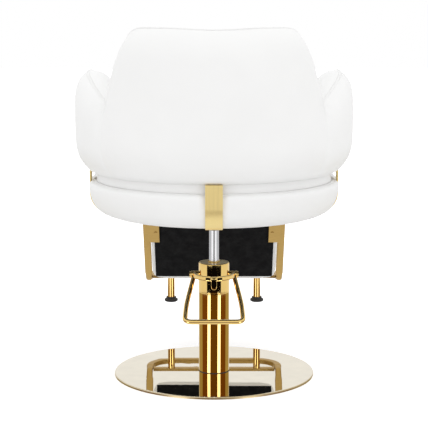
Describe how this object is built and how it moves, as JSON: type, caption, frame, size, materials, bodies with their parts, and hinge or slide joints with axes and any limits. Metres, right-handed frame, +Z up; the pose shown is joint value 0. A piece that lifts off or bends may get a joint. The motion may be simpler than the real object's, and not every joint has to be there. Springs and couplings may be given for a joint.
{
  "type": "hairdressing chair",
  "caption": "Padded tub chair on a hydraulic pump column and round base, with a pump pedal, calf pad and looped footrest; the seat lifts and swivels.",
  "frame": {"origin": "on the floor, on the swivel axis under the centre of the round base", "axes": "+Z up along the piston, -Y towards the front of the seat and the footrest, +X to the right when looking along +Y"},
  "size_m": [0.672, 0.9873, 0.874],
  "materials": {
    "white_vinyl": "smooth white faux leather, a coated fabric, over foam",
    "mirror_gold": "mirror polished pale gold plating",
    "polished_gold": "polished gold plating",
    "brushed_gold": "fine brushed gold",
    "satin_gold": "satin gold",
    "chrome_rod": "hard chrome, ground",
    "dark_steel": "black steel",
    "zinc": "zinc plated",
    "bronze": "plain bronze",
    "black_rubber": "matt rubber",
    "black_felt": "black nonwoven sheet",
    "plywood": "birch plywood"
  },
  "bodies": {
    "base": {"floor_pad": "black_rubber", "base_ballast": "dark_steel", "base_cover": "mirror_gold", "base_bolts": "zinc", "pump_socket": "dark_steel", "column_sleeve": "polished_gold", "pump_barrel": "dark_steel", "pump_head": "polished_gold", "wiper_seal": "black_rubber", "gland_ring": "polished_gold", "pedal_pins": "polished_gold"},
    "piston": {"piston_rod": "chrome_rod", "piston_head": "dark_steel", "piston_seal": "black_rubber", "piston_nut": "zinc", "thrust_washer": "bronze"},
    "pedal": {"pedal_yoke": "polished_gold", "pedal_loop": "polished_gold"},
    "seat": {"swivel_hub": "dark_steel", "mount_plate": "dark_steel", "seat_rails": "dark_steel", "plate_bolts": "zinc", "seat_board": "plywood", "dust_cover": "black_felt", "seat_drum": "white_vinyl", "seat_plinth": "white_vinyl", "cushion_board": "plywood", "seat_cushion": "white_vinyl", "tub_cover": "white_vinyl", "tub_core": "plywood", "tub_lining": "white_vinyl", "back_strip": "brushed_gold", "side_strip_left": "brushed_gold", "side_strip_right": "brushed_gold", "strip_screws": "zinc", "footrest_leg_left": "satin_gold", "footrest_leg_right": "satin_gold", "footrest_bolts": "zinc", "foot_cross_bar": "satin_gold", "foot_front_bar": "satin_gold", "calf_board": "plywood", "calf_pad": "white_vinyl", "calf_backing": "black_felt", "calf_brackets": "satin_gold", "calf_screws": "satin_gold", "bumper_studs": "polished_gold", "bumper_feet": "black_rubber"}
  },
  "joints": [
    {"name": "lift", "type": "slide", "parent": "base", "child": "piston", "axis": [0, 0, 1], "range_m": [-0.066, 0.06]},
    {"name": "swivel", "type": "hinge", "parent": "piston", "child": "seat", "pos_m": [0, 0, 0.39], "axis": [0, 0, 1], "continuous": true},
    {"name": "pedal_pivot", "type": "hinge", "parent": "base", "child": "pedal", "pos_m": [0, 0, 0.253], "axis": [-1, 0, 0], "range_deg": [0, 24], "stiffness_Nm_per_rad": 8, "springref_deg": -20.05}
  ]
}
